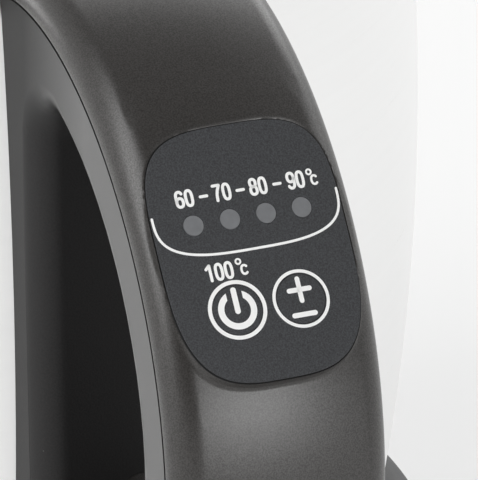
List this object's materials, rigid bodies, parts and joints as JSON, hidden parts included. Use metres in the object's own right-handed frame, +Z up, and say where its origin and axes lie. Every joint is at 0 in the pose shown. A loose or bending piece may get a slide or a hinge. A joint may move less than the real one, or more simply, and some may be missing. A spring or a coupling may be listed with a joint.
{
  "type": "gooseneck kettle",
  "caption": "Cordless electric gooseneck kettle with barrel-shaped steel body, D-loop handle with temperature panel and keys, lift-out lid and a turning power base.",
  "frame": {"origin": "centre of the power base on the table, at the plane of its feet", "axes": "+Z up, +X from the handle towards the spout, +Y to the left of the spout"},
  "size_m": [0.2854, 0.154, 0.1899],
  "materials": {
    "base_plastic": "fine satin",
    "handle_plastic": "satin, fine grain",
    "panel_film": "matt film with white print",
    "lamp_window": "smoked translucent",
    "body_steel": "fine brushed",
    "element_steel": "dull",
    "spreader_aluminium": "mill",
    "contact_brass": "plain",
    "screw_steel": "bright zinc",
    "foot_rubber": "matt",
    "silicone": "translucent matt",
    "circuit_board": "solder mask",
    "component_plastic": "moulded",
    "cable_jacket": "matt"
  },
  "bodies": {
    "power_base": {"base_cover": "base_plastic", "base_plate": "base_plastic", "base_connector": "base_plastic", "base_contacts": "contact_brass", "base_feet": "foot_rubber", "base_screws": "screw_steel", "cord_gland": "base_plastic"},
    "swivel": {"swivel_collar": "base_plastic"},
    "kettle": {"board_screws": "screw_steel", "body_shell": "body_steel", "bottom_cover": "base_plastic", "bottom_screws": "screw_steel", "bottom_seal": "silicone", "bracket_screws": "screw_steel", "control_board": "circuit_board", "control_overlay": "panel_film", "cover_screws": "screw_steel", "handle_brackets": "body_steel", "handle_cable": "cable_jacket", "handle_cover": "handle_plastic", "handle_frame": "handle_plastic", "heat_spreader": "spreader_aluminium", "heater_plate": "body_steel", "heating_element": "element_steel", "indicator_leds": "component_plastic", "kettle_connector": "base_plastic", "kettle_contacts": "contact_brass", "key_switches": "component_plastic", "light_pipes": "lamp_window", "plate_studs": "body_steel", "power_relay": "component_plastic", "probe_seal": "silicone", "relay_board": "circuit_board", "screw_caps": "handle_plastic", "spout_neck": "body_steel", "spout_root": "body_steel", "temperature_probe": "body_steel", "thermal_cutout": "element_steel"},
    "lid": {"lid_cover": "body_steel", "lid_seal": "silicone", "lid_knob": "handle_plastic", "knob_screw": "screw_steel"},
    "power_key": {"power_key": "handle_plastic"},
    "temperature_key": {"temperature_key": "handle_plastic"}
  },
  "joints": [
    {"name": "kettle_swivel", "type": "hinge", "parent": "power_base", "child": "swivel", "pos_m": [0, 0, 0.0217], "axis": [0, 0, 1], "continuous": true},
    {"name": "kettle_lift", "type": "slide", "parent": "swivel", "child": "kettle", "axis": [0, 0, 1], "range_m": [0, 0.05]},
    {"name": "lid_lift", "type": "slide", "parent": "kettle", "child": "lid", "axis": [0, 0, 1], "range_m": [0, 0.05]},
    {"name": "power_key_press", "type": "slide", "parent": "kettle", "child": "power_key", "axis": [0.766, 0, -0.6428], "range_m": [0, 0.0004], "stiffness_N_per_m": 4000},
    {"name": "temperature_key_press", "type": "slide", "parent": "kettle", "child": "temperature_key", "axis": [0.766, 0, -0.6428], "range_m": [0, 0.0004], "stiffness_N_per_m": 4000}
  ]
}
